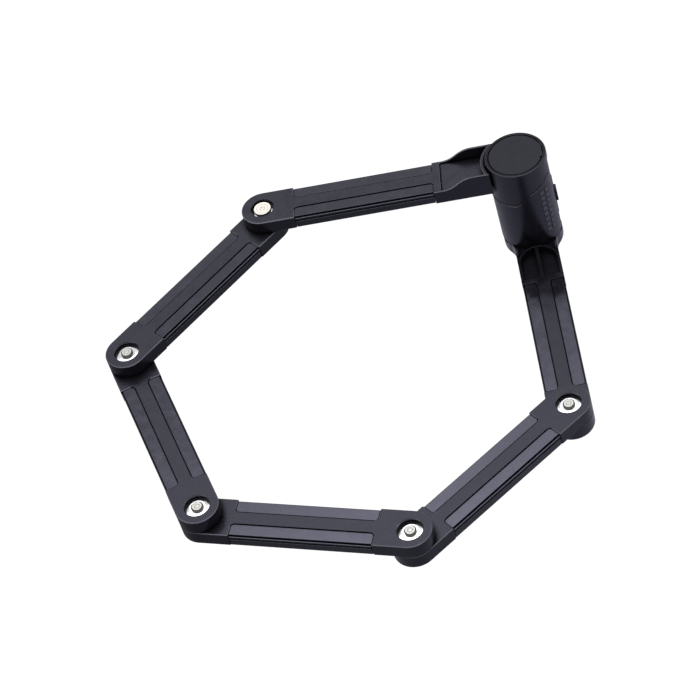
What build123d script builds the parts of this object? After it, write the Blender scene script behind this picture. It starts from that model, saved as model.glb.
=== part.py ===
from build123d import *
import os
from math import atan2, cos, degrees, hypot, radians, sin, sqrt

# Folding bike lock: a cylindrical lock housing and six riveted links, closed as a loop.
# Millimetres. The housing axis is Z, the lock rests on z = 0, and the keyhole faces +X.
# Link A turns under the housing, then B, C, D and E climb one level each, and F goes
# into the side of the housing.

os.makedirs("parts", exist_ok=True)

# ---- driving dimensions ----
link_length = 130.0  # pivot to pivot, links B to E
arm_length = 165.0  # housing axis to pivot, links A and F
pitch = 10.0  # from one link's level to the next
base_level = 5.0  # underside of link A, above the underside of its root disc
heading_a = -90.0  # directions of the links in the closed loop, degrees from +X
heading_b = -143.8
heading_c = 160.4
heading_d = 105.1

# link section, heights from the underside of the link's level
end_half = 13.5  # half width of the end zones
end_top = 9.7
mid_low = 0.4
mid_top = 9.3
shoulder = 20.6  # pivot to the end of the end zone
arm_shoulder = 54.4  # housing axis to the start of the mid zone, links A and F
strip_gap = 0.25  # shoulder to strip
core_half = 10.6
core_low = 1.6
core_top = 8.1
rib_half = 4.1
rib_reach = 2.0  # how far the rib runs into the end zones, flush with their tops
edge_round = 0.7

# side strip section, distances from the link's centre line
strip_inner = 4.8
strip_shelf = 12.1  # outer edge of the strip's top
groove_outer = 12.65
groove_low = 7.2
lip_top = 8.1
lip_half = 13.3
lip_low = 6.9
web_outer = 12.5
band_half = 13.2
band_top = 5.4
strip_round = 0.3
shelf_round = 0.5
strip_corner = 1.8
gusset_gap = 0.5

# hardened bars
bar_half = 8.0
bar_low = 2.2
bar_top = 6.7
bar_height = bar_top - bar_low

# riveted joints
recess_radius = 8.1
rivet_radius = 3.5
rivet_fit = 0.05
head_radius = 5.7
head_low = 0.3
head_top = 2.1
collar_radius = 3.75
tail_radius = 3.0
washer_inner = rivet_radius + 0.1
washer_outer = 7.5
washer_flat = 5.2
washer_top = 7.4
washer_rim = 7.0
head_washer_outer = 6.6  # under the flat head of pivot 5
head_recess = 7.5
tail_step = 8.4
tail_top = 9.0
bushing_radius = 5.5
bushing_press = 0.05
bushing_free = 0.3
open_gap = 0.05  # each half of the opened pivot stops this far short of its link's face

# housing
shell_radius = 19.5
shell_inner = 17.5
body_radius = 17.45
shell_low = 9.1
floor_top = 12.0
body_top = 70.8
lid_top = 73.1
housing_top = 75.0
rim_inner = 17.6
rim_outer_round = 0.8
rim_inner_round = 0.3
cap_radius = 16.9
cap_top = 74.7
flat_x = 18.9
flat_top = 69.5
seam_left = 49.0
seam_middle = 56.8
seam_right = 62.0
seam_gap = 0.3

# root of link A
root_radius = 19.2
root_top = 9.0
root_blends = (14.0, 8.0)  # left and right of the arm
clear_radius = 20.7  # links A and F keep this far from the housing axis
nose_x = 36.0  # centre of the rounded end of link A's raised part
nose_outer = 12.8
nose_inner = 11.7
lip_inner = 12.0
collar_groove = (6.0, 6.3)  # heights of the line between root disc and collar
collar_groove_radius = 18.8
tray_end = 50.4

# block of link F
swing_f = 0.92  # degrees that link F leans about pivot 5, within its play in the lock
block_top = 72.3
block_round = 0.4
end_wall_radius = 22.7
tray_half = 12.3
tray_floor = 63.7
tray_start = 115.4
tray_groove_width = 0.7
tray_groove_depth = 0.8

# lock mechanism
key_height = 40.0
cylinder_radius = 7.0
cylinder_bore = 5.06
plug_radius = 5.0
crank_throw = 3.6
crank_pin_radius = 1.1
bolt_reach = 7.5  # housing axis to bolt axis, towards link F
bolt_radius = 3.5
bolt_top = 57.0
tongue_half = 7.0
tongue_tip = 1.0
tongue_overlap = 0.5  # how far the tongue reaches into the bar
stud_radius = 5.0
stud_head = 9.0
stud_top = 19.0


# ---- the loop's pivots ----
def stepped(point, heading, length):
    """The point that lies length away from point in the given direction."""
    return (point[0] + length * cos(radians(heading)), point[1] + length * sin(radians(heading)))


def heading_of(start, end):
    return degrees(atan2(end[1] - start[1], end[0] - start[0]))


pivot_1 = stepped((0, 0), heading_a, arm_length)
pivot_2 = stepped(pivot_1, heading_b, link_length)
pivot_3 = stepped(pivot_2, heading_c, link_length)
pivot_4 = stepped(pivot_3, heading_d, link_length)
# pivot 5 is link_length from pivot 4 and arm_length from the housing axis
span = hypot(*pivot_4)
along = (arm_length**2 - link_length**2 + span**2) / (2 * span)
across = sqrt(arm_length**2 - along**2)
pivot_5 = stepped(stepped((0, 0), heading_of((0, 0), pivot_4), along),
                  heading_of((0, 0), pivot_4) - 90, across)
heading_e = heading_of(pivot_4, pivot_5)
heading_f = heading_of(pivot_5, (0, 0))


def level(number):
    """Height of the underside of a link's level, 0 for A to 5 for F."""
    return base_level + number * pitch


def link_plane(start, heading, number):
    """A link's own frame: origin at its first pivot, x along the link, z up."""
    x_dir = (cos(radians(heading)), sin(radians(heading)), 0)
    return Plane(origin=(start[0], start[1], level(number)), x_dir=x_dir, z_dir=(0, 0, 1))


def side_plane(plane):
    """The link's frame turned so that a sketch on it is a side view of the link."""
    return Plane(origin=plane.origin, x_dir=plane.x_dir, z_dir=-plane.y_dir)


plane_a = link_plane((0, 0), heading_a, 0)
plane_b = link_plane(pivot_1, heading_b, 1)
plane_c = link_plane(pivot_2, heading_c, 2)
plane_d = link_plane(pivot_3, heading_d, 3)
plane_e = link_plane(pivot_4, heading_e, 4)
plane_f = link_plane(pivot_5, heading_f + swing_f, 5)
side_a = side_plane(plane_a)
side_f = side_plane(plane_f)
housing = Plane.XY
# link F's tongue lies on the line from the housing axis to pivot 5
tongue_plane = link_plane((0, 0), heading_f + 180, 5)


def keep(builder, name):
    builder.part.label = name
    export_step(builder.part, f"parts/{name}.step")


# ---- drawing helpers, used inside a part block ----
def cylinder_between(plane, x, y, radius, low, top, mode=Mode.ADD):
    with BuildSketch(plane.offset(low)) as outline:
        with Locations((x, y)):
            Circle(radius)
    extrude(outline.sketch, amount=top - low, mode=mode)


def box_between(plane, x_range, y_range, z_range, mode=Mode.ADD):
    with BuildSketch(plane.offset(z_range[0])) as outline:
        with Locations(((x_range[0] + x_range[1]) / 2, (y_range[0] + y_range[1]) / 2)):
            Rectangle(x_range[1] - x_range[0], y_range[1] - y_range[0])
    extrude(outline.sketch, amount=z_range[1] - z_range[0], mode=mode)


def bar_body(plane, start, end, mode=Mode.ADD):
    """A flat bar with a round eye at both ends."""
    with BuildSketch(plane.offset(bar_low)) as outline:
        with Locations(((start + end) / 2, 0)):
            SlotCenterToCenter(end - start, 2 * bar_half)
    extrude(outline.sketch, amount=bar_height, mode=mode)


def end_pad(plane, x, toward):
    """The wider, rounded end zone of a jacket."""
    with BuildSketch(plane) as outline:
        with Locations((x, 0)):
            Circle(end_half)
        with Locations((x + toward * shoulder / 2, 0)):
            Rectangle(shoulder, 2 * end_half)
        fillet(outline.vertices().sort_by(Axis.X)[-2 if toward > 0 else 0:][:2], edge_round)
    extrude(outline.sketch, amount=end_top)


def round_rims(builder):
    """Rounds the upper and lower rims of the end pads drawn so far."""
    fillet(builder.edges().group_by(Axis.Z)[-1], edge_round)
    fillet(builder.edges().group_by(Axis.Z)[0], edge_round)


def mid_zone(plane, start, end):
    """The core that the side strips clasp, and the central rib between them."""
    box_between(plane, (start, end), (-core_half, core_half), (core_low, core_top))
    box_between(plane, (start - rib_reach, end + rib_reach), (-rib_half, rib_half),
                (mid_low, end_top))
    # fillets of the end zone that follow the strips' rounded inner corners
    with BuildSketch(plane.offset(core_top)) as gussets:
        reach = strip_gap + strip_corner
        centre_y = strip_inner + strip_corner
        for x, side in ((start, 1), (start, -1), (end, 1), (end, -1)):
            along = 1 if x == start else -1
            with Locations((x + along * (reach - rib_reach) / 2, side * centre_y / 2)):
                Rectangle(reach + rib_reach, centre_y)
        for x, side in ((start, 1), (start, -1), (end, 1), (end, -1)):
            along = 1 if x == start else -1
            with Locations((x + along * reach, side * centre_y)):
                Circle(strip_corner + gusset_gap, mode=Mode.SUBTRACT)
    extrude(gussets.sketch, amount=end_top - core_top)


def upper_joint_cut(plane, x, recess=recess_radius):
    """Where this link is the upper one of a joint: washer recess above, bushing hole below."""
    cylinder_between(plane, x, 0, recess, bar_low, end_top + 1, Mode.SUBTRACT)
    cylinder_between(plane, x, 0, bushing_radius + bushing_free, -1, bar_low, Mode.SUBTRACT)


def lower_joint_cut(plane, x):
    """Where this link is the lower one of a joint: head recess below, bushing hole above."""
    cylinder_between(plane, x, 0, recess_radius, -1, bar_top, Mode.SUBTRACT)
    cylinder_between(plane, x, 0, bushing_radius + bushing_press, bar_top, end_top + 1,
                     Mode.SUBTRACT)


def eye_cut(plane, x, radius=rivet_radius + rivet_fit):
    cylinder_between(plane, x, 0, radius, -base_level, end_top, Mode.SUBTRACT)


# ---- side strips: a C section that clasps the edge of the mid zone ----
def side_strip(plane, start, end, side):
    """Top shelf with a groove under its edge, then a lip, a recess and a lower side band."""
    outline = [(strip_inner, mid_low), (band_half, mid_low), (band_half, band_top),
               (web_outer, band_top), (web_outer, lip_low), (lip_half, lip_low),
               (lip_half, lip_top), (groove_outer, lip_top), (groove_outer, groove_low),
               (strip_shelf, groove_low), (strip_shelf, mid_top), (strip_inner, mid_top),
               (strip_inner, core_top), (core_half, core_top), (core_half, core_low),
               (strip_inner, core_low)]
    section = Plane(origin=plane.from_local_coords((start, 0, 0)), x_dir=plane.y_dir,
                    z_dir=plane.x_dir)
    with BuildPart() as strip:
        with BuildSketch(section) as profile:
            with BuildLine():
                Polyline(*[(side * y, z) for y, z in outline], close=True)
            make_face()
            corners = profile.vertices()
            fillet([v for v in corners if side * v.X > groove_outer + 0.1], strip_round)
            fillet([v for v in corners if side * v.X > core_half + 0.1 and v.Y > mid_top - 0.1],
                   shelf_round)
        extrude(amount=end - start)
        inner_corners = strip.edges().filter_by(Axis.Z).filter_by(
            lambda e: abs(plane.to_local_coords(e.center()).Y * side - strip_inner) < 0.05)
        fillet(inner_corners, strip_corner)
    return strip


# ---- middle links B, C, D and E ----
def middle_jacket(plane):
    with BuildPart() as jacket:
        end_pad(plane, 0, 1)
        end_pad(plane, link_length, -1)
        round_rims(jacket)
        mid_zone(plane, shoulder, link_length - shoulder)
        bar_body(plane, 0, link_length, Mode.SUBTRACT)
        upper_joint_cut(plane, 0)
        lower_joint_cut(plane, link_length)
    return jacket


def middle_bar(plane):
    with BuildPart() as bar:
        bar_body(plane, 0, link_length)
        eye_cut(plane, 0, rivet_radius + 2 * rivet_fit)
        eye_cut(plane, link_length)
    return bar


for letter, plane in (("b", plane_b), ("c", plane_c), ("d", plane_d), ("e", plane_e)):
    keep(middle_jacket(plane), f"jacket_{letter}")
    keep(middle_bar(plane), f"bar_{letter}")
    for word, side in (("left", 1), ("right", -1)):
        strip_start = shoulder + strip_gap
        keep(side_strip(plane, strip_start, link_length - strip_start, side),
             f"strip_{letter}_{word}")

# ---- link A: a normal end at pivot 1, a dropped root disc under the housing ----
joggle_high = 46.0  # where the bar starts to drop to the root
joggle_low = 30.0
root_eye = 14.0
root_eye_clear = 0.1
underside = -base_level


def joggled_bar(mode=Mode.ADD):
    """Bar A without its holes: level at pivot 1, joggled down into the root disc."""
    eye = root_eye if mode == Mode.ADD else root_eye + root_eye_clear
    box_between(plane_a, (joggle_high, arm_length), (-bar_half, bar_half), (bar_low, bar_top), mode)
    cylinder_between(plane_a, arm_length, 0, bar_half, bar_low, bar_top, mode)
    with BuildSketch(side_a) as slope:
        with BuildLine():
            Polyline((joggle_low, bar_low + underside), (joggle_high, bar_low),
                     (joggle_high, bar_top), (joggle_low, bar_top + underside), close=True)
        make_face()
    extrude(slope.sketch, amount=bar_half, both=True, mode=mode)
    box_between(plane_a, (0, joggle_low), (-bar_half, bar_half),
                (bar_low + underside, bar_top + underside), mode)
    cylinder_between(plane_a, 0, 0, eye, bar_low + underside, bar_top + underside, mode)


with BuildPart() as bar_a:
    joggled_bar()
    eye_cut(plane_a, arm_length)
    eye_cut(plane_a, 0, stud_radius + 2 * rivet_fit)
keep(bar_a, "bar_a")

# the two pockets behind the rounded nose, with a floor that drops towards the root
with BuildPart() as pockets:
    with BuildSketch(plane_a.offset(root_top + underside)):
        with Locations((nose_x, 0)):
            Circle(nose_inner)
        with Locations(((nose_x + tray_end) / 2, 0)):
            Rectangle(tray_end - nose_x, 2 * nose_inner)
        with Locations((nose_x, 0)):
            Rectangle(2 * arm_shoulder, 2.0, mode=Mode.SUBTRACT)
    extrude(amount=pitch)
    with BuildSketch(side_a):
        with BuildLine():
            Polyline((nose_x - nose_inner, root_top + underside + 0.2), (tray_end, bar_top + 2.0),
                     (tray_end, 2 * pitch), (nose_x - nose_inner, 2 * pitch), close=True)
        make_face()
    extrude(amount=pitch * 2, both=True, mode=Mode.INTERSECT)

# what is cut away above the side lips, which rise from the root disc to the link's top
with BuildPart() as lip_rise:
    with BuildSketch(side_a):
        with BuildLine():
            Polyline((14, root_top + underside), (14, 2 * pitch), (31, 2 * pitch), (31, end_top))
            Bezier((31, end_top), (23, end_top - 0.2), (21, root_top + underside + 0.2),
                   (14, root_top + underside))
        make_face()
    extrude(amount=2 * end_half, both=True)
    box_between(plane_a, (0, arm_shoulder), (-lip_inner, lip_inner), (underside, 3 * pitch),
                Mode.SUBTRACT)

with BuildPart() as jacket_a:
    end_pad(plane_a, arm_length, -1)
    round_rims(jacket_a)
    with BuildSketch(plane_a.offset(underside)) as root_outline:
        Circle(root_radius)
        with Locations((arm_shoulder / 2, 0)):
            Rectangle(arm_shoulder, 2 * end_half)
        for side, blend in zip((-1, 1), root_blends):
            fillet([v for v in root_outline.vertices()
                    if 1 < v.X < arm_shoulder - 1 and abs(v.Y - side * end_half) < 0.1], blend)
    extrude(amount=end_top - underside)
    # the underside rises from the root disc to the link's level
    with BuildSketch(side_a):
        with BuildLine():
            Polyline((arm_shoulder, 0), (arm_shoulder, 2 * underside), (28, 2 * underside),
                     (28, underside))
            Bezier((28, underside), (38, underside + 0.2), (38, -0.2), (47, 0))
            Line((47, 0), (arm_shoulder, 0))
        make_face()
    extrude(amount=2 * end_half, both=True, mode=Mode.SUBTRACT)
    add(lip_rise.part, mode=Mode.SUBTRACT)
    cylinder_between(plane_a, 0, 0, clear_radius, root_top + underside, 2 * pitch, Mode.SUBTRACT)
    cylinder_between(plane_a, 0, 0, shell_radius, collar_groove[1] + underside,
                     root_top + underside)
    with BuildSketch(plane_a.offset(collar_groove[0] + underside)) as groove_ring:
        Circle(clear_radius)
        Circle(collar_groove_radius, mode=Mode.SUBTRACT)
        with Locations((arm_shoulder / 2 + 9, 0)):
            Rectangle(arm_shoulder, 3 * end_half, mode=Mode.SUBTRACT)
    extrude(groove_ring.sketch, amount=collar_groove[1] - collar_groove[0], mode=Mode.SUBTRACT)
    # the pit between the side lips and the rounded nose
    with BuildSketch(plane_a.offset(root_top + underside)):
        with Locations((nose_x / 2, 0)):
            Rectangle(nose_x, 2 * lip_inner)
        with Locations((nose_x, 0)):
            Circle(nose_outer, mode=Mode.SUBTRACT)
    extrude(amount=pitch, mode=Mode.SUBTRACT)
    add(pockets.part, mode=Mode.SUBTRACT)
    mid_zone(plane_a, arm_shoulder, arm_length - shoulder)
    joggled_bar(Mode.SUBTRACT)
    lower_joint_cut(plane_a, arm_length)
    cylinder_between(plane_a, 0, 0, stud_head + 0.4, 2 * underside, bar_low + underside,
                     Mode.SUBTRACT)
    cylinder_between(plane_a, 0, 0, 12.0, bar_top + underside, pitch, Mode.SUBTRACT)
keep(jacket_a, "jacket_a")

for word, side in (("left", 1), ("right", -1)):
    keep(side_strip(plane_a, arm_shoulder + strip_gap, arm_length - shoulder - strip_gap, side),
         f"strip_a_{word}")

# ---- link F: a normal end at pivot 5, a raised block and a tongue at the housing ----
tongue_root = arm_length - clear_radius
block_start = arm_length - arm_shoulder
block_height = block_top - level(5)
axis_in_f = stepped((0, 0), -swing_f, arm_length)  # the housing axis, seen from link F

with BuildPart() as bar_f:
    box_between(plane_f, (0, tongue_root), (-bar_half, bar_half), (bar_low, bar_top))
    cylinder_between(plane_f, 0, 0, bar_half, bar_low, bar_top)
    box_between(tongue_plane, (tongue_tip, clear_radius + tongue_overlap),
                (-tongue_half, tongue_half), (bar_low, bar_top))
    tip_corners = bar_f.edges().filter_by(Axis.Z).sort_by(Axis.X)[-2:]
    chamfer(tip_corners, 1.5)
    eye_cut(plane_f, 0, rivet_radius + 2 * rivet_fit)
    cylinder_between(tongue_plane, bolt_reach, 0, bolt_radius + 0.2, 0, end_top, Mode.SUBTRACT)
keep(bar_f, "bar_f")

with BuildPart() as jacket_f:
    end_pad(plane_f, 0, 1)
    round_rims(jacket_f)
    box_between(plane_f, (block_start, arm_length - 5), (-end_half, end_half), (0, block_height))
    # the block's top rises in an S from the link's top to the housing's top
    with BuildSketch(side_f):
        with BuildLine():
            Polyline((block_start - 1, end_top), (block_start - 1, 3 * pitch), (137, 3 * pitch),
                     (137, block_height))
            Bezier((137, block_height), (127, block_height - 0.4), (126, end_top + 0.5),
                   (117, end_top))
            Line((117, end_top), (block_start - 1, end_top))
        make_face()
    extrude(amount=2 * end_half, both=True, mode=Mode.SUBTRACT)
    cylinder_between(housing, 0, 0, clear_radius, level(5) - 1, level(8), Mode.SUBTRACT)
    with BuildSketch(plane_f.offset(tray_floor - level(5))) as tray:
        with Locations(((tray_start + arm_length) / 2, 0)):
            Rectangle(arm_length - tray_start, 2 * tray_half)
        fillet(tray.vertices(), 0.8)
        with Locations(axis_in_f):
            Circle(end_wall_radius, mode=Mode.SUBTRACT)
    extrude(amount=3 * pitch, mode=Mode.SUBTRACT)
    fillet(jacket_f.edges().group_by(Axis.Z)[-1], block_round)
    # a narrow groove round the tray's floor
    with BuildSketch(plane_f.offset(tray_floor - level(5) - tray_groove_depth)) as tray_groove:
        with Locations(((tray_start + arm_length) / 2, 0)):
            Rectangle(arm_length - tray_start, 2 * tray_half)
        with Locations(((tray_start + tray_groove_width + arm_length) / 2, 0)):
            Rectangle(arm_length - tray_start - tray_groove_width,
                      2 * (tray_half - tray_groove_width), mode=Mode.SUBTRACT)
        with Locations(axis_in_f):
            Circle(end_wall_radius, mode=Mode.SUBTRACT)
    extrude(amount=tray_groove_depth, mode=Mode.SUBTRACT)
    mid_zone(plane_f, shoulder, block_start)
    box_between(plane_f, (0, arm_length), (-bar_half, bar_half), (bar_low, bar_top), Mode.SUBTRACT)
    cylinder_between(plane_f, 0, 0, bar_half + 0.05, bar_low, bar_top, Mode.SUBTRACT)
    box_between(tongue_plane, (clear_radius - 2, clear_radius + 1),
                (-tongue_half - 0.2, tongue_half + 0.2), (bar_low, bar_top), Mode.SUBTRACT)
    upper_joint_cut(plane_f, 0, head_recess)
keep(jacket_f, "jacket_f")

for word, side in (("left", 1), ("right", -1)):
    keep(side_strip(plane_f, shoulder + strip_gap, block_start - strip_gap, side),
         f"strip_f_{word}")


# ---- riveted joints ----
def turned(centre, profile):
    """A solid of revolution about the vertical axis through centre; profile is (radius, z)."""
    with BuildPart() as body:
        with BuildSketch(Plane(origin=(centre[0], centre[1], 0), x_dir=(1, 0, 0),
                               z_dir=(0, -1, 0))):
            with BuildLine():
                Polyline(*profile, close=True)
            make_face()
        revolve(axis=Axis((centre[0], centre[1], 0), (0, 0, 1)))
    return body


def head_profile(low):
    """The rivet's flat head in the recess under the lower link."""
    return [(0, low + head_low), (head_radius - 0.4, low + head_low),
            (head_radius, low + head_low + 0.4), (head_radius, low + head_top),
            (rivet_radius, low + head_top)]


def tail_profile(high):
    """The rivet's closed tail on the washer of the upper link."""
    return [(rivet_radius, high + washer_top + 0.05), (collar_radius, high + washer_top + 0.05),
            (collar_radius, high + tail_step), (tail_radius, high + tail_top),
            (0, high + tail_top)]


def domed_washer(centre, low, outer=washer_outer):
    """Flat below, with a top that falls towards the rim."""
    return turned(centre, [(washer_inner, low + bar_top), (outer, low + bar_top),
                           (outer, low + washer_rim), (washer_flat, low + washer_top),
                           (washer_inner, low + washer_top)])


def bushing(centre, low, top):
    inner = rivet_radius + rivet_fit
    return turned(centre, [(inner, low), (bushing_radius, low), (bushing_radius, top),
                           (inner, top)])


for number, centre in ((1, pivot_1), (2, pivot_2), (4, pivot_4)):
    low, high = level(number - 1), level(number)
    keep(turned(centre, head_profile(low) + tail_profile(high)), f"rivet_{number}")
    keep(domed_washer(centre, high), f"washer_{number}")
    keep(bushing(centre, low + bar_top, high + bar_low - open_gap), f"bushing_{number}")

# pivot 3 is the opened one: its rivet and bushing stop at the face between links C and D
low, high = level(2), level(3)
face_low, face_high = low + end_top - open_gap, high + open_gap
keep(turned(pivot_3, head_profile(low) + [(rivet_radius, face_low), (0, face_low)]),
     "rivet_3_lower")
keep(turned(pivot_3, [(0, face_high), (rivet_radius, face_high)] + tail_profile(high)),
     "rivet_3_upper")
keep(domed_washer(pivot_3, high), "washer_3")
keep(bushing(pivot_3, low + bar_top, face_low), "bushing_3_lower")
keep(bushing(pivot_3, face_high, high + bar_low), "bushing_3_upper")

# pivot 5 has its rivet the other way up, with the flat head in the recess of link F
low, high = level(4), level(5)
head_seat = high + washer_top + 0.15
head_up = head_seat + 1.75
keep(turned(pivot_5, [(0, low + 0.4), (tail_radius, low + 0.4), (collar_radius, low + 1.0),
                      (collar_radius, low + head_top), (rivet_radius, low + head_top),
                      (rivet_radius, head_seat), (head_radius, head_seat),
                      (head_radius, head_up - 0.3), (head_radius - 0.3, head_up),
                      (0.9, head_up), (0.9, head_up - 0.15), (0, head_up - 0.15)]), "rivet_5")
keep(domed_washer(pivot_5, high, head_washer_outer), "washer_5")
keep(bushing(pivot_5, low + bar_top, high + bar_low - open_gap), "bushing_5")

# ---- housing shells ----
front = Plane.XZ
window = (21.5, 46.0)
window_half = 3.3
slide_half = 6.0
base_screw_angles = (30, 150, 270)
top_screw_angles = (90, 210, 330)
screw_circle = 13.0


def region_beside_seam(above, lift):
    """The half space above or below the stepped seam, raised by lift."""
    far = 3 * shell_radius
    end = housing_top + far if above else -far
    with BuildSketch(front) as side:
        with BuildLine():
            Line((-far, seam_left + lift), (-7, seam_left + lift))
            Bezier((-7, seam_left + lift), (-1.5, seam_left + 0.3 + lift),
                   (-1.5, seam_middle - 0.6 + lift), (5, seam_middle + lift))
            Bezier((5, seam_middle + lift), (9, seam_middle + 0.5 + lift),
                   (13, seam_right - 2.7 + lift), (17, seam_right + lift))
            Polyline((17, seam_right + lift), (far, seam_right + lift), (far, end), (-far, end),
                     (-far, seam_left + lift))
        make_face()
    return side.sketch


def screw_places(angles):
    return [stepped((0, 0), angle, screw_circle) for angle in angles]


def keyhole_flat():
    """Cuts the flat on the keyhole side, the shutter's window and the slot behind it."""
    box_between(housing, (flat_x, 2 * shell_radius), (-slide_half - 2, slide_half + 2),
                (shell_low - 1, flat_top), Mode.SUBTRACT)
    box_between(housing, (flat_x - 4, flat_x - 1.1), (-slide_half, slide_half),
                (floor_top, 61.5), Mode.SUBTRACT)
    with BuildSketch(Plane(origin=(flat_x - 3, 0, sum(window) / 2), x_dir=(0, 1, 0),
                           z_dir=(1, 0, 0))) as opening:
        RectangleRounded(2 * window_half, window[1] - window[0], 0.8)
    extrude(opening.sketch, amount=6, mode=Mode.SUBTRACT)


with BuildPart() as shell_lower:
    cylinder_between(housing, 0, 0, shell_radius, shell_low, housing_top)
    chamfer(shell_lower.edges().group_by(Axis.Z)[0], 0.15)
    cylinder_between(housing, 0, 0, shell_inner, floor_top, housing_top, Mode.SUBTRACT)
    keyhole_flat()
    extrude(region_beside_seam(True, 0), amount=2 * shell_radius, both=True, mode=Mode.SUBTRACT)
    cylinder_between(housing, 0, 0, stud_radius + 0.1, 0, floor_top, Mode.SUBTRACT)
    for x, y in screw_places(base_screw_angles):
        cylinder_between(housing, x, y, 1.6, 0, floor_top, Mode.SUBTRACT)
        cylinder_between(housing, x, y, 3.0, 0, shell_low + 1.5, Mode.SUBTRACT)
keep(shell_lower, "shell_lower")

with BuildPart() as shell_upper:
    cylinder_between(housing, 0, 0, shell_radius, shell_low, housing_top)
    fillet(shell_upper.edges().group_by(Axis.Z)[-1], rim_outer_round)
    cylinder_between(housing, 0, 0, shell_inner, shell_low, body_top, Mode.SUBTRACT)
    cylinder_between(housing, 0, 0, rim_inner, lid_top, housing_top, Mode.SUBTRACT)
    top_edges = shell_upper.edges().filter_by(GeomType.CIRCLE).group_by(Axis.Z)[-1]
    fillet(top_edges.filter_by(lambda e: e.radius < rim_inner + 0.01), rim_inner_round)
    keyhole_flat()
    extrude(region_beside_seam(False, seam_gap), amount=2 * shell_radius, both=True,
            mode=Mode.SUBTRACT)
    box_between(tongue_plane, (shell_inner - 5, 2 * shell_radius),
                (-tongue_half - 0.4, tongue_half + 0.4), (bar_low - 0.4, bar_top + 0.4),
                Mode.SUBTRACT)
    for x, y in screw_places(top_screw_angles):
        cylinder_between(housing, x, y, 1.6, body_top, lid_top, Mode.SUBTRACT)
        cylinder_between(housing, x, y, 3.0, lid_top - 1.2, lid_top, Mode.SUBTRACT)
keep(shell_upper, "shell_upper")

tab_length = 10.0  # the cap's straight-sided tab on the keyhole side
tab_width = 11.4
with BuildPart() as cap:
    with BuildSketch(housing.offset(lid_top)) as disc:
        Circle(cap_radius)
        with Locations((cap_radius - tab_length / 2, 0.3)):
            Rectangle(tab_length, tab_width)
        with Locations((cap_radius - 0.9, -7.0)):
            Rectangle(2.2, 1.7, mode=Mode.SUBTRACT)
        with Locations((0, 0)):
            Circle(rim_inner - 0.3, mode=Mode.INTERSECT)
    extrude(amount=cap_top - lid_top)
keep(cap, "cap")

# ---- lock body and mechanism ----
driver_x = (-11.0, -2.0)
driver_y = (-5.6, 6.2)
driver_z = (34.0, 44.0)
slot_clear = 0.25
key_axis = Plane(origin=(0, 0, key_height), x_dir=(0, 1, 0), z_dir=(1, 0, 0))
bolt_x, bolt_y = stepped((0, 0), heading_f + 180, bolt_reach)
spring_low = 20.0
coil_radius = 2.6
wire_radius = 0.45

with BuildPart() as lock_body:
    cylinder_between(housing, 0, 0, body_radius, floor_top, body_top)
    chamfer(lock_body.edges().group_by(Axis.Z)[-1], 0.5)
    box_between(housing, (flat_x - 2.7, shell_radius), (-slide_half - 0.3, slide_half + 0.3),
                (floor_top - 1, 61.8), Mode.SUBTRACT)
    cylinder_between(key_axis, 0, 0, cylinder_radius + 0.03, -1.6, shell_radius, Mode.SUBTRACT)
    box_between(housing, (driver_x[0] - 0.4, driver_x[1] + 0.4),
                (driver_y[0] - 0.4, driver_y[1] + 0.4), (driver_z[0], driver_z[1] + 6.0),
                Mode.SUBTRACT)
    cylinder_between(housing, bolt_x, bolt_y, bolt_radius + 0.05, driver_z[1], 64.0,
                     Mode.SUBTRACT)
    cylinder_between(housing, bolt_x, bolt_y, coil_radius + wire_radius + 0.3,
                     spring_low - wire_radius, driver_z[0], Mode.SUBTRACT)
    box_between(tongue_plane, (-0.5, shell_radius), (-tongue_half - 0.3, tongue_half + 0.3),
                (bar_low - 0.3, bar_top + 0.3), Mode.SUBTRACT)
    cylinder_between(housing, 0, 0, stud_radius + 0.02, 0, stud_top + 0.1, Mode.SUBTRACT)
    for x, y in screw_places(base_screw_angles):
        cylinder_between(housing, x, y, 1.52, 0, 19.5, Mode.SUBTRACT)
    for x, y in screw_places(top_screw_angles):
        cylinder_between(housing, x, y, 1.52, 63.4, body_top, Mode.SUBTRACT)
    cylinder_between(Plane(origin=(6, 0, key_height), x_dir=(1, 0, 0), z_dir=(0, -1, 0)), 0, 0,
                     2.02, cylinder_radius, shell_radius, Mode.SUBTRACT)
keep(lock_body, "lock_body")

with BuildPart() as cylinder_body:
    cylinder_between(key_axis, 0, 0, cylinder_radius, -1.5, 15.9)
    cylinder_between(key_axis, 0, 0, cylinder_bore, -2, 16, Mode.SUBTRACT)
keep(cylinder_body, "cylinder_body")

with BuildPart() as key_plug:
    cylinder_between(key_axis, 0, 0, plug_radius, 0.6, 15.8)
    cylinder_between(key_axis, 0, 0, plug_radius - 1.0, 0.6, 13.6, Mode.SUBTRACT)
    box_between(key_axis, (-1.3, 1.3), (-3.2, 3.2), (13, 16), Mode.SUBTRACT)
keep(key_plug, "key_plug")

disc_thickness = 1.5
disc_pitch = 2.0
with BuildPart() as discs:
    for count in range(6):
        start = 1.4 + count * disc_pitch
        cylinder_between(key_axis, 0, 0, plug_radius - 1.03, start, start + disc_thickness)
        box_between(key_axis, (-1.4, 1.4), (-2.6, 2.6), (start, start + disc_thickness),
                    Mode.SUBTRACT)
keep(discs, "discs")

pin_side = crank_throw * cos(radians(45))
with BuildPart() as crank:
    cylinder_between(key_axis, 0, 0, plug_radius - 0.05, -1.4, 0.6)
    cylinder_between(key_axis, pin_side, -pin_side, crank_pin_radius, -5.0, -1.4)
keep(crank, "crank")

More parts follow.
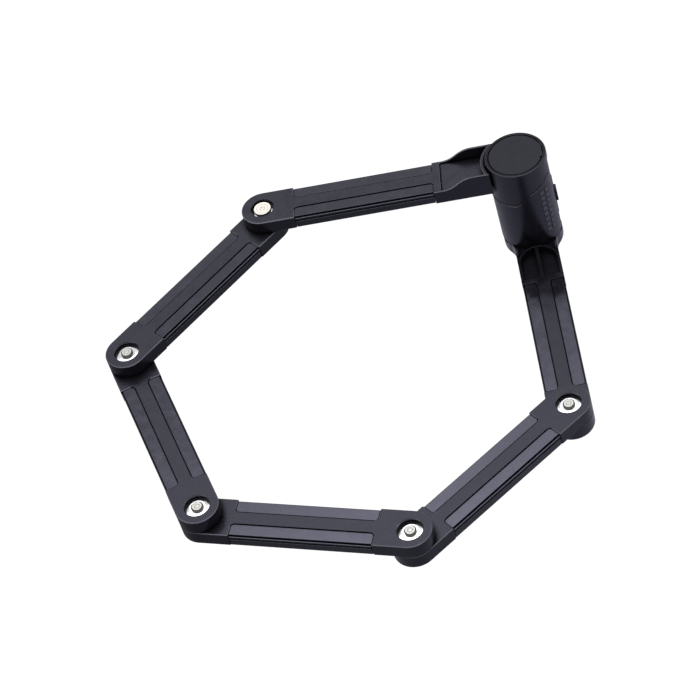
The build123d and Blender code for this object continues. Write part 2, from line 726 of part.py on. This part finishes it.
slot_half = crank_pin_radius + slot_clear
with BuildPart() as bolt:
    box_between(housing, driver_x, driver_y, driver_z)
    cylinder_between(housing, bolt_x, bolt_y, bolt_radius, driver_z[1], bolt_top)
    chamfer(bolt.edges().group_by(Axis.Z)[-1], 0.6)
    box_between(housing, (-5.3, driver_x[1] + 1), (pin_side - slot_half, crank_throw + slot_half),
                (key_height - pin_side - slot_half, key_height - pin_side + slot_half),
                Mode.SUBTRACT)
keep(bolt, "bolt")

with BuildPart() as bolt_spring:
    with BuildLine() as coil:
        Helix(pitch=2.2, height=driver_z[0] - spring_low - wire_radius, radius=coil_radius,
              center=(bolt_x, bolt_y, spring_low))
    with BuildSketch(Plane(origin=coil.line @ 0, z_dir=coil.line % 0)):
        Circle(wire_radius)
    sweep(is_frenet=True)
keep(bolt_spring, "bolt_spring")

with BuildPart() as grub_screw:
    grub_plane = Plane(origin=(6, 0, key_height), x_dir=(1, 0, 0), z_dir=(0, -1, 0))
    cylinder_between(grub_plane, 0, 0, 2.0, cylinder_radius + 0.02, 13.0)
    with BuildSketch(grub_plane.offset(10.5)):
        RegularPolygon(1.1, 6)
    extrude(amount=3, mode=Mode.SUBTRACT)
keep(grub_screw, "grub_screw")


def screws(places, seat, direction, head_height):
    """Countersunk screws at the given places: seat is the face that their heads lie flush with."""
    with BuildPart() as group:
        for x, y in places:
            plane = Plane(origin=(x, y, seat), x_dir=(1, 0, 0), z_dir=(0, 0, direction))
            cylinder_between(plane, 0, 0, 2.9, 0, head_height)
            cylinder_between(plane, 0, 0, 1.5, head_height, 9.5)
            with BuildSketch(plane) as socket:
                RegularPolygon(1.2, 6)
            extrude(socket.sketch, amount=head_height * 0.7, mode=Mode.SUBTRACT)
    return group


keep(screws(screw_places(base_screw_angles), shell_low + 0.1, 1, 1.4), "base_screws")
keep(screws(screw_places(top_screw_angles), lid_top - 0.1, -1, 1.1), "top_screws")

# ---- shutter over the keyhole ----
knob_z = (29.0, 39.5)
knob_half = 2.7
knob_x = 20.6
rib_count = 5
plate_z = (20.0, 53.0)
port_z = 47.5
with BuildPart() as shutter:
    box_between(housing, (flat_x - 2.4, flat_x - 1.4), (-slide_half + 0.3, slide_half - 0.3),
                plate_z)
    cylinder_between(Plane(origin=(0, 0, port_z), x_dir=(0, 1, 0), z_dir=(1, 0, 0)), 0, 0, 3.6,
                     flat_x - 3, flat_x, Mode.SUBTRACT)
    box_between(housing, (flat_x - 1.4, knob_x), (-knob_half, knob_half), knob_z)
    fillet(shutter.edges().filter_by(Axis.X).filter_by(lambda e: e.center().X > flat_x - 1), 0.8)
    rib_pitch = (knob_z[1] - knob_z[0]) / (rib_count + 1)
    for count in range(1, rib_count + 1):
        groove = knob_z[0] + count * rib_pitch
        box_between(housing, (knob_x - 0.7, knob_x + 1), (-knob_half - 1, knob_half + 1),
                    (groove - 0.4, groove + 0.4), Mode.SUBTRACT)
keep(shutter, "shutter")

# ---- root pivot: the stud that link A turns on ----
with BuildPart() as stud:
    cylinder_between(housing, 0, 0, stud_head, 0, bar_low - 0.1)
    chamfer(stud.edges().group_by(Axis.Z)[0], 0.5)
    cylinder_between(housing, 0, 0, stud_radius, bar_low - 0.1, stud_top)
keep(stud, "stud")

with BuildPart() as root_washer:
    cylinder_between(housing, 0, 0, 11.6, bar_top + open_gap, shell_low)
    cylinder_between(housing, 0, 0, stud_radius + 0.05, 0, pitch, Mode.SUBTRACT)
keep(root_washer, "root_washer")
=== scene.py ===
from math import cos, pi, radians, sin

import bpy
from mathutils import Matrix, Vector


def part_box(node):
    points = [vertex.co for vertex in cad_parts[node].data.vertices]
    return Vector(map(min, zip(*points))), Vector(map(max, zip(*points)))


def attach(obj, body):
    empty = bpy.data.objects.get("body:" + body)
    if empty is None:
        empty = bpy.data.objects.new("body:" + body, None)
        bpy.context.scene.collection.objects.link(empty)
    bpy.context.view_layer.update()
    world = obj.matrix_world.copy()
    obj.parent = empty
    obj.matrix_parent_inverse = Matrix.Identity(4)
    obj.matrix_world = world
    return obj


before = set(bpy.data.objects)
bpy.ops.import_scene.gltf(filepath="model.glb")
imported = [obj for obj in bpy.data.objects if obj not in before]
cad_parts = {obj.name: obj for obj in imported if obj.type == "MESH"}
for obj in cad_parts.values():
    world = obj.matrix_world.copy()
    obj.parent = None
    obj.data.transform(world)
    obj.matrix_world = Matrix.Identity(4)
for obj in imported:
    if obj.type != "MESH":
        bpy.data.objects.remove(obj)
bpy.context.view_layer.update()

# ---- studio, metres and degrees ----
CAMERA_TARGET = Vector((-0.1248, -0.0947, 0.0350))
CAMERA_DISTANCE = 1.709
CAMERA_AZIMUTH = -82.63
CAMERA_ELEVATION = 47.51
CAMERA_ROLL = -17.99
CAMERA_LENS = 142.4  # on a 36 mm sensor
# the room's brightness by height above the horizon: a big lamp starts about 50 degrees up
ROOM_GLOW = ((0.0, 0.50), (25.0, 0.84), (49.0, 0.84), (50.8, 2.9), (60.0, 3.4), (90.0, 2.6))
SOFTBOX_PLACE = Vector((-0.1, 0.1, 1.6))
SOFTBOX_AIM = Vector((-0.12, -0.1, 0.0))
SOFTBOX_SIZE = 1.6
SOFTBOX_POWER = 1.0  # watts
FLOOR_SIZE = 6.0
FLOOR_LEVEL = -0.0005
FLOOR_SEEN = 1.05  # the floor's brightness as the camera sees it
FLOOR_TINT = (0.91, 0.90, 1.08, 1.0)
FLOOR_FADE = (-0.29, 0.02)  # x between which the light that the floor throws on the lock grows
FLOOR_GLOW = (0.189, 0.567)  # that light at the two ends of the fade

# ---- plastics ----
PLASTIC_TINT = (0.75, 0.745, 1.0, 1.0)  # the tint of their reflections
FACE_SLOPES = (0.1, 0.7)  # heights of the normal at which a face is upright, and level
# heights of the normal that bound the painted highlight on rounded and sloping faces: none, full,
# full, none
HIGHLIGHT_SLOPES = ((0.2, 0.0), (0.5, 1.0), (0.9, 1.0), (0.99, 0.0))
# painted shade in corners: how far it reaches, and how open a spot is where it is thick or gone
CORNER_SHADE_REACH = 0.004
CORNER_SHADE_RANGE = (0.55, 0.92)
CORNER_SHADE_GLOSS = 0.08  # share of the gloss left under thick painted shade

# ---- noise values ----
BLOTCH_EDGES = (0.35, 0.65)  # a blotch is wholly one shade below, and wholly the other above
NOISE_SPREAD = (0.3, 0.7)  # most of the values are between these

# ---- rivet heads ----
HEAD_RADIUS = 0.0057
HEAD_SLOPES = (0.82, 0.97)  # heights of the normal on the side darkened with painted shade and on the bright top
# stamped rings: distance from the middle as a share of the radius, and brightness
HEAD_RINGS = ((0.0, 1.0), (0.22, 1.0), (0.28, 0.22), (0.33, 1.0), (0.58, 1.0), (0.64, 0.55),
              (0.72, 1.0), (1.0, 1.0))
# painted shade: the dark colours given to the side of each rivet head
HEAD_SIDE_SHADE = ((0.012, 0.011, 0.010, 1.0), (0.05, 0.048, 0.045, 1.0))
RIVET_TONES = {1: (0.44, 0.43, 0.41), 2: (0.44, 0.43, 0.41), 3: (0.46, 0.45, 0.42),
               4: (0.46, 0.45, 0.42), 5: (0.74, 0.70, 0.64)}

# ---- details added to the housing, metres, and degrees round its axis ----
SHELL_RADIUS = 0.0195
SUNK = 0.0003  # how deep an added piece is let into the shell
SEAM_LEFT = 0.0490
SEAM_MIDDLE = 0.0568
SEAM_RIGHT = 0.0620
SEAM_STEP = (-0.007, 0.005)  # x between which the seam climbs from left to middle
SEAM_CORNER = 0.0170  # x at which it reaches SEAM_RIGHT
SEAM_CURVE = 1.6
# each ledge's name, first and last angle, radius of its round section, and drop from the seam
LEDGES = (("seam_ledge", -186.0, -98.0, 0.00042, 0.0016),
          ("seam_ledge_right", -80.0, -24.0, 0.000252, 0.00096))
LEDGE_STEPS = 60
LEDGE_REACH = 0.01977  # how far from the axis a ledge stands out
MARKS_LOW, MARKS_TOP = 0.0180, 0.0555
MARK_ROWS = 8
MARK_ANGLES = ((-60.0, -51.0), (-47.0, -39.0))
MARK_STEPS = 4
MARK_SHARE = 0.62  # a dash's share of its row's height
MARK_RISE = 0.00028
MARK_SHOULDER = 0.4 * MARK_RISE  # how far out its edges start to slant
MARK_SLANT = 0.0002  # height of the slanting part
FLAT_X = 0.0189
WINDOW = ((-0.00345, 0.02135), (0.00345, 0.04615))  # just outside the opening, clear of the knob
FRAME_WIDTH = 0.0007
FRAME_RISE = 0.0004
FRAME_ROUND = 0.00012

scene = bpy.context.scene
scene.view_settings.view_transform = "Standard"
scene.view_settings.look = "None"


# ---- nodes ----
def new_nodes(tree):
    """Empties a node tree. Returns a function that adds a node, and one that links sockets."""
    tree.nodes.clear()

    def add(kind, **settings):
        node = tree.nodes.new(kind)
        for key, value in settings.items():
            setattr(node, key, value)
        return node

    return add, tree.links.new


def mapped(add, link, value, old, new):
    """A value moved from the range old to the range new, and held inside it."""
    node = add("ShaderNodeMapRange")
    node.inputs["From Min"].default_value, node.inputs["From Max"].default_value = old
    node.inputs["To Min"].default_value, node.inputs["To Max"].default_value = new
    link(value, node.inputs["Value"])
    return node.outputs["Result"]


def grey_ramp(add, link, value, stops):
    """A ramp of greys through stops, which are (place, level) pairs in rising order."""
    ramp = add("ShaderNodeValToRGB")
    elements = ramp.color_ramp.elements
    for element, (place, level) in zip(elements, (stops[0], stops[-1])):
        element.position = place
        element.color = (level, level, level, 1.0)
    for place, level in stops[1:-1]:
        elements.new(place).color = (level, level, level, 1.0)
    link(value, ramp.inputs["Fac"])
    return ramp.outputs["Color"]


def product(add, link, first, second):
    node = add("ShaderNodeMath", operation="MULTIPLY")
    link(first, node.inputs[0])
    link(second, node.inputs[1])
    return node.outputs[0]


def part_of(add, link, vector, axis):
    """The X, Y or Z of a vector."""
    split = add("ShaderNodeSeparateXYZ")
    link(vector, split.inputs[0])
    return split.outputs[axis]


def split_by_ray(add, link, unseen, seen, out):
    """Lets the camera see one shader, and the other light the lock."""
    path = add("ShaderNodeLightPath")
    mix = add("ShaderNodeMixShader")
    link(path.outputs["Is Camera Ray"], mix.inputs[0])
    link(unseen.outputs[0], mix.inputs[1])
    link(seen.outputs[0], mix.inputs[2])
    link(mix.outputs[0], out.inputs["Surface"])


# ---- studio ----
def add_camera():
    """A camera that looks at CAMERA_TARGET and is rolled about its line of sight."""
    azimuth, elevation = radians(CAMERA_AZIMUTH), radians(CAMERA_ELEVATION)
    back = Vector((cos(elevation) * cos(azimuth), cos(elevation) * sin(azimuth), sin(elevation)))
    right = Vector((-sin(azimuth), cos(azimuth), 0.0))
    up = back.cross(right)
    level = Matrix((right, up, back)).transposed()
    turned = level @ Matrix.Rotation(radians(CAMERA_ROLL), 3, "Z")
    data = bpy.data.cameras.new("camera")
    data.lens = CAMERA_LENS
    data.sensor_width = 36.0
    data.clip_end = 20.0
    camera = bpy.data.objects.new("camera", data)
    place = CAMERA_TARGET + back * CAMERA_DISTANCE
    camera.matrix_world = Matrix.Translation(place) @ turned.to_4x4()
    scene.collection.objects.link(camera)
    scene.camera = camera


def add_world():
    """A room that the camera sees as white, and that lights the lock as ROOM_GLOW says."""
    world = bpy.data.worlds.new("studio")
    scene.world = world
    world.use_nodes = True
    add, link = new_nodes(world.node_tree)
    out = add("ShaderNodeOutputWorld")
    lit = add("ShaderNodeBackground")
    seen = add("ShaderNodeBackground")
    seen.inputs["Color"].default_value = (1.0, 1.0, 1.0, 1.0)
    where = add("ShaderNodeTexCoord")
    rise = add("ShaderNodeMath", operation="ARCSINE")
    link(part_of(add, link, where.outputs["Generated"], "Z"), rise.inputs[0])
    height = mapped(add, link, rise.outputs[0], (0.0, pi / 2), (0.0, 1.0))
    stops = [(degrees_up / 90.0, level) for degrees_up, level in ROOM_GLOW]
    link(grey_ramp(add, link, height, stops), lit.inputs["Color"])
    split_by_ray(add, link, lit, seen, out)


def add_softbox():
    data = bpy.data.lights.new("overhead", "AREA")
    data.size = SOFTBOX_SIZE
    data.energy = SOFTBOX_POWER
    lamp = bpy.data.objects.new("overhead", data)
    lamp.location = SOFTBOX_PLACE
    lamp.rotation_euler = (SOFTBOX_AIM - SOFTBOX_PLACE).to_track_quat("-Z", "Y").to_euler()
    scene.collection.objects.link(lamp)


def add_floor():
    """A floor that the camera sees as white, and that lights the lock more on its right."""
    mesh = bpy.data.meshes.new("floor")
    half = FLOOR_SIZE / 2
    corners = ((-half, -half), (half, -half), (half, half), (-half, half))
    mesh.from_pydata([(x, y, FLOOR_LEVEL) for x, y in corners], [], [(0, 1, 2, 3)])
    floor = bpy.data.objects.new("floor", mesh)
    scene.collection.objects.link(floor)
    material = bpy.data.materials.new("floor")
    material.use_nodes = True
    add, link = new_nodes(material.node_tree)
    out = add("ShaderNodeOutputMaterial")
    seen = add("ShaderNodeEmission")
    seen.inputs["Strength"].default_value = FLOOR_SEEN
    dim = add("ShaderNodeEmission")
    dim.inputs["Color"].default_value = FLOOR_TINT
    where = add("ShaderNodeTexCoord")
    across = part_of(add, link, where.outputs["Object"], "X")
    link(mapped(add, link, across, FLOOR_FADE, FLOOR_GLOW), dim.inputs["Strength"])
    split_by_ray(add, link, dim, seen, out)
    mesh.materials.append(material)


# ---- materials ----
def new_surface(name):
    """A new material. Returns it, its Principled shader, and its add and link functions."""
    material = bpy.data.materials.new(name)
    material.use_nodes = True
    add, link = new_nodes(material.node_tree)
    out = add("ShaderNodeOutputMaterial")
    surface = add("ShaderNodeBsdfPrincipled")
    link(surface.outputs[0], out.inputs["Surface"])
    return material, surface, add, link


def noise_value(add, link, where, scale, detail):
    noise = add("ShaderNodeTexNoise")
    noise.inputs["Scale"].default_value = scale
    noise.inputs["Detail"].default_value = detail
    link(where, noise.inputs["Vector"])
    return noise.outputs["Fac"]


def shade(colour, factor):
    """A colour made darker or lighter, with its alpha."""
    return tuple(min(1.0, factor * part) for part in colour) + (1.0,)


def blotches(add, link, value, low, high):
    """A colour that drifts between two shades with a noise value."""
    ramp = add("ShaderNodeValToRGB")
    for element, place, colour in zip(ramp.color_ramp.elements, BLOTCH_EDGES, (low, high)):
        element.position = place
        element.color = colour
    link(value, ramp.inputs["Fac"])
    return ramp.outputs["Color"]


def add_relief(add, link, surface, height, strength, depth, edge=None):
    """Bumps a surface by a height. An edge is the radius that its corners seem rounded to."""
    relief = add("ShaderNodeBump")
    relief.inputs["Strength"].default_value = strength
    relief.inputs["Distance"].default_value = depth
    link(height, relief.inputs["Height"])
    if edge:
        rounded = add("ShaderNodeBevel", samples=4)
        rounded.inputs["Radius"].default_value = edge
        link(rounded.outputs["Normal"], relief.inputs["Normal"])
    link(relief.outputs["Normal"], surface.inputs["Normal"])


def moulded_plastic(name, colour, roughness, grain=5200.0, bump=0.12, specular=0.62,
                    edge=0.00035, side=1.0, top=1.0, highlight_grey=0.030):
    """Textured moulding: spark-eroded grain, faint cloudiness and handled, smoother patches.
    The factors side and top set how strongly upright and level faces reflect, a painted sheen that
    makes faces lighter or darker by how they face the light. Painted shade dulls the gloss in the
    corners and grooves, and rounded and sloping faces are painted a lighter grey as a painted
    highlight."""
    material, surface, add, link = new_surface(name)
    surface.inputs["Specular Tint"].default_value = PLASTIC_TINT
    space = add("ShaderNodeTexCoord")
    where = space.outputs["Object"]
    slope = part_of(add, link, space.outputs["Normal"], "Z")

    # painted shade: where ambient occlusion finds corners and grooves, the gloss is dulled and the
    # painted highlight held back
    openness = add("ShaderNodeAmbientOcclusion", samples=6)
    openness.inputs["Distance"].default_value = CORNER_SHADE_REACH
    unshaded = mapped(add, link, openness.outputs["AO"], CORNER_SHADE_RANGE, (CORNER_SHADE_GLOSS, 1.0))
    # painted sheen: level and upright faces reflect by different amounts, making them lighter or
    # darker by how they face the light
    slope_sheen = mapped(add, link, slope, FACE_SLOPES, (side * specular, top * specular))
    surface.inputs["Specular IOR Level"].default_value = specular
    link(product(add, link, slope_sheen, unshaded), surface.inputs["Specular IOR Level"])

    cloud = noise_value(add, link, where, scale=70.0, detail=4.0)
    body = blotches(add, link, cloud, shade(colour, 0.86), shade(colour, 1.16))
    # painted highlight: rounded and sloping faces turn a lighter grey
    highlight_mask = grey_ramp(add, link, slope, HIGHLIGHT_SLOPES)
    tone = add("ShaderNodeMix", data_type="RGBA")
    link(product(add, link, highlight_mask, unshaded), tone.inputs["Factor"])
    link(body, tone.inputs["A"])
    tone.inputs["B"].default_value = (highlight_grey, highlight_grey, 1.12 * highlight_grey, 1.0)
    link(tone.outputs["Result"], surface.inputs["Base Color"])

    patch = noise_value(add, link, where, scale=160.0, detail=5.0)
    rough = mapped(add, link, patch, NOISE_SPREAD, (roughness - 0.06, roughness + 0.06))
    link(rough, surface.inputs["Roughness"])
    fine = noise_value(add, link, where, scale=grain, detail=2.0)
    add_relief(add, link, surface, fine, strength=bump, depth=0.0002, edge=edge)
    return material


def from_axis(add, link, where, centre):
    """Places measured from the vertical axis through centre."""
    place = add("ShaderNodeMapping")
    place.inputs["Location"].default_value = (-centre[0], -centre[1], 0.0)
    link(where, place.inputs["Vector"])
    return place.outputs["Vector"]


def metal(name, colour, roughness, grain=3000.0, bump=0.08, centre=None):
    """Steel or brass. With a centre it has the rings that turning leaves."""
    material, surface, add, link = new_surface(name)
    surface.inputs["Metallic"].default_value = 1.0
    where = add("ShaderNodeTexCoord").outputs["Object"]
    cloud = noise_value(add, link, where, scale=500.0, detail=4.0)
    body = blotches(add, link, cloud, shade(colour, 0.88), shade(colour, 1.05))
    link(body, surface.inputs["Base Color"])
    rough = mapped(add, link, cloud, NOISE_SPREAD, (roughness - 0.05, roughness + 0.07))
    link(rough, surface.inputs["Roughness"])
    if centre is None:
        height = noise_value(add, link, where, scale=grain, detail=2.0)
    else:
        rings = add("ShaderNodeTexWave", wave_type="RINGS", rings_direction="Z")
        rings.inputs["Scale"].default_value = 1400.0
        rings.inputs["Distortion"].default_value = 0.4
        link(from_axis(add, link, where, centre), rings.inputs["Vector"])
        height = rings.outputs["Fac"]
    add_relief(add, link, surface, height, strength=bump, depth=0.0001, edge=0.0002)
    return material


def rivet_steel(name, centre, colour):
    """A riveted head: a bright top with stamped rings, and a side darkened with painted shade."""
    material, surface, add, link = new_surface(name)
    space = add("ShaderNodeTexCoord")
    where = space.outputs["Object"]
    slope = part_of(add, link, space.outputs["Normal"], "Z")
    facing = mapped(add, link, slope, HEAD_SLOPES, (0.0, 1.0))
    link(facing, surface.inputs["Metallic"])
    surface.inputs["Roughness"].default_value = 0.34

    cloud = noise_value(add, link, where, scale=900.0, detail=5.0)
    tone = add("ShaderNodeMix", data_type="RGBA")
    link(facing, tone.inputs["Factor"])
    link(blotches(add, link, cloud, *HEAD_SIDE_SHADE), tone.inputs["A"])
    top = blotches(add, link, cloud, shade(colour, 0.84), shade(colour, 1.08))
    link(top, tone.inputs["B"])

    flat = add("ShaderNodeVectorMath", operation="MULTIPLY")
    flat.inputs[1].default_value = (1.0, 1.0, 0.0)
    link(from_axis(add, link, where, centre), flat.inputs[0])
    reach = add("ShaderNodeVectorMath", operation="LENGTH")
    link(flat.outputs["Vector"], reach.inputs[0])
    share = add("ShaderNodeMath", operation="MULTIPLY")
    share.inputs[1].default_value = 1.0 / HEAD_RADIUS
    link(reach.outputs["Value"], share.inputs[0])
    stamp = grey_ramp(add, link, share.outputs[0], HEAD_RINGS)

    marked = add("ShaderNodeMix", data_type="RGBA", blend_type="MULTIPLY")
    marked.inputs["Factor"].default_value = 1.0
    link(tone.outputs["Result"], marked.inputs["A"])
    link(stamp, marked.inputs["B"])
    link(marked.outputs["Result"], surface.inputs["Base Color"])
    add_relief(add, link, surface, stamp, strength=0.35, depth=0.0001)
    return material


def dress(node, material):
    """Gives a CAD node one material."""
    mesh = bpy.data.objects[node].data
    mesh.materials.clear()
    mesh.materials.append(material)


def middle(node):
    """The middle of a CAD node's box."""
    low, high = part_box(node)
    return [(a + b) / 2 for a, b in zip(low, high)]


def dress_all():
    """Gives each CAD node the finish of the longest kind that its name starts with. Washers
    and rivets, which are numbered, have a finish each because their rings need a centre."""
    jacket = moulded_plastic("jacket", (0.0030, 0.0030, 0.0040), 0.28, bump=0.09, specular=0.47,
                             side=0.72, highlight_grey=0.055)
    strip = moulded_plastic("strip", (0.0030, 0.0031, 0.0040), 0.11, grain=4200.0, bump=0.05,
                            specular=0.92, edge=0.0004, side=0.55, highlight_grey=0.035)
    arm = moulded_plastic("arm", (0.0026, 0.0026, 0.0034), 0.20, bump=0.09, specular=0.44,
                          highlight_grey=0.045)
    shell = moulded_plastic("shell", (0.0028, 0.0028, 0.0036), 0.33, bump=0.05, specular=0.47,
                            top=0.35)
    cap = moulded_plastic("cap", (0.0030, 0.0030, 0.0040), 0.34, bump=0.10, specular=0.31)
    block = moulded_plastic("block", (0.0030, 0.0030, 0.0040), 0.26, specular=0.50, edge=0.0005,
                            side=0.75, highlight_grey=0.075)
    shutter = moulded_plastic("shutter", (0.0080, 0.0080, 0.0090), 0.55)
    nylon = moulded_plastic("nylon", (0.60, 0.60, 0.57), 0.45)
    hardened = metal("hardened", (0.05, 0.05, 0.055), 0.45)
    core = metal("core", (0.055, 0.055, 0.06), 0.55, grain=1500.0, bump=0.3)
    brass = metal("brass", (0.72, 0.55, 0.25), 0.28)
    oxide = metal("oxide", (0.08, 0.08, 0.09), 0.42)
    spring = metal("spring", (0.45, 0.45, 0.48), 0.25)
    kinds = {"jacket": jacket, "jacket_a": arm, "jacket_f": block, "strip": strip,
             "shell": shell, "cap": cap, "shutter": shutter, "root_washer": nylon,
             "bar": hardened, "bushing": hardened, "crank": hardened, "bolt": hardened,
             "stud": hardened, "lock_body": core, "bolt_spring": spring,
             "cylinder_body": brass, "key_plug": brass, "discs": brass,
             "base_screws": oxide, "top_screws": oxide, "grub_screw": oxide}
    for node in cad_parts:
        fitting = [kind for kind in kinds if node.startswith(kind)]
        if fitting:
            dress(node, kinds[max(fitting, key=len)])
    for number, tone in RIVET_TONES.items():
        washer = f"washer_{number}"
        centre = middle(washer)
        dress(washer, metal(washer, (0.80, 0.81, 0.83), 0.10, bump=0.04, centre=centre))
        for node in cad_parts:
            if node.startswith(f"rivet_{number}"):
                dress(node, rivet_steel(node, centre, tone))


# ---- details added to the housing ----
def outward_at(angle):
    """The direction away from the housing's axis, at an angle in degrees."""
    return Vector((cos(radians(angle)), sin(radians(angle)), 0.0))


def swept_arc(first, last, steps, radius, height_at):
    """Pairs of point and outward direction round the housing. Height depends on x."""
    rows = []
    for step in range(steps + 1):
        outward = outward_at(first + (last - first) * step / steps)
        place = outward * radius
        place.z = height_at(place.x)
        rows.append((place, outward))
    return rows


def ring_of(rows, section):
    """Vertices and faces of a closed section swept along an open row of (point, outward) pairs."""
    vertices, faces = [], []
    count = len(section)
    for place, outward in rows:
        for out, up in section:
            vertices.append(place + outward * out + Vector((0.0, 0.0, up)))
    for row in range(len(rows) - 1):
        for side in range(count):
            near = row * count + side
            far = row * count + (side + 1) % count
            faces.append((near, far, far + count, near + count))
    faces.append(tuple(range(count))[::-1])
    faces.append(tuple(range((len(rows) - 1) * count, len(rows) * count)))
    return vertices, faces


def round_section(radius, count=10):
    return [(radius * cos(2 * pi * k / count), radius * sin(2 * pi * k / count))
            for k in range(count)]


def add_piece(name, vertices, faces, material, body, smooth=True):
    mesh = bpy.data.meshes.new(name)
    mesh.from_pydata([tuple(v) for v in vertices], [], faces)
    mesh.validate()
    mesh.update()
    for face in mesh.polygons:
        face.use_smooth = smooth
    piece = bpy.data.objects.new(name, mesh)
    scene.collection.objects.link(piece)
    mesh.materials.append(material)
    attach(piece, body)
    return piece


def seam_height(x):
    """Height of the shells' seam above the floor where it passes x."""
    if x <= SEAM_STEP[0]:
        return SEAM_LEFT
    if x >= SEAM_STEP[1]:
        part = min(1.0, (x - SEAM_STEP[1]) / (SEAM_CORNER - SEAM_STEP[1]))
        return SEAM_MIDDLE + (SEAM_RIGHT - SEAM_MIDDLE) * part ** SEAM_CURVE
    part = (x - SEAM_STEP[0]) / (SEAM_STEP[1] - SEAM_STEP[0])
    return SEAM_LEFT + (SEAM_MIDDLE - SEAM_LEFT) * part * part * (3 - 2 * part)


def add_seam_ledges(material):
    """The rounded upper edge of the lower shell, just under the seam, on each side of its step."""
    for name, first, last, radius, drop in LEDGES:
        rows = swept_arc(first, last, LEDGE_STEPS, LEDGE_REACH - radius,
                         lambda x: seam_height(x) - drop)
        vertices, faces = ring_of(rows, round_section(radius))
        add_piece(name, vertices, faces, material, "housing")


def add_marks(material):
    """Two columns of plain raised dashes up the keyhole side of the lower shell."""
    vertices, faces = [], []
    pitch = (MARKS_TOP - MARKS_LOW) / MARK_ROWS
    height = pitch * MARK_SHARE
    section = [(-SUNK, 0.0), (MARK_SHOULDER, 0.0), (MARK_RISE, MARK_SLANT),
               (MARK_RISE, height - MARK_SLANT), (MARK_SHOULDER, height), (-SUNK, height)]
    for row in range(MARK_ROWS):
        low = MARKS_LOW + row * pitch
        for first, last in MARK_ANGLES:
            rows = swept_arc(first, last, MARK_STEPS, SHELL_RADIUS, lambda x: low)
            more, sides = ring_of(rows, section)
            base = len(vertices)
            vertices += more
            faces += [tuple(base + corner for corner in face) for face in sides]
    add_piece("raised_marks", vertices, faces, material, "housing", smooth=False)


def add_window_frame(material):
    """The low frame round the shutter's window in the flat."""
    (low_y, low_z), (high_y, high_z) = WINDOW
    wide = FRAME_WIDTH
    inner = [(low_y, low_z), (high_y, low_z), (high_y, high_z), (low_y, high_z)]
    outer = [(low_y - wide, low_z - wide), (high_y + wide, low_z - wide),
             (high_y + wide, high_z + wide), (low_y - wide, high_z + wide)]
    back, front = FLAT_X - SUNK, FLAT_X + FRAME_RISE
    rings = ((outer, back), (outer, front), (inner, front), (inner, back))
    vertices = [Vector((x, y, z)) for corners, x in rings for y, z in corners]
    faces = []
    for ring in range(4):
        after = (ring + 1) % 4
        for corner in range(4):
            beside = (corner + 1) % 4
            faces.append((ring * 4 + corner, ring * 4 + beside,
                          after * 4 + beside, after * 4 + corner))
    piece = add_piece("window_frame", vertices, faces, material, "housing", smooth=False)
    rounding = piece.modifiers.new("rounding", "BEVEL")
    rounding.width = FRAME_ROUND
    rounding.segments = 2


add_camera()
add_world()
add_floor()
add_softbox()
dress_all()
# painted highlight: the seam ledges get a lighter, glossier copy of the shell plastic, so they
# show as a light line
ledge_sheen = moulded_plastic("ledge_sheen", (0.0060, 0.0060, 0.0078), 0.30, specular=0.9)
frame_black = moulded_plastic("frame_black", (0.0020, 0.0020, 0.0024), 0.45, specular=0.4)
marks = moulded_plastic("marks", (0.0090, 0.0090, 0.0120), 0.40, bump=0.10, specular=1.0)
add_seam_ledges(ledge_sheen)
add_marks(marks)
add_window_frame(frame_black)
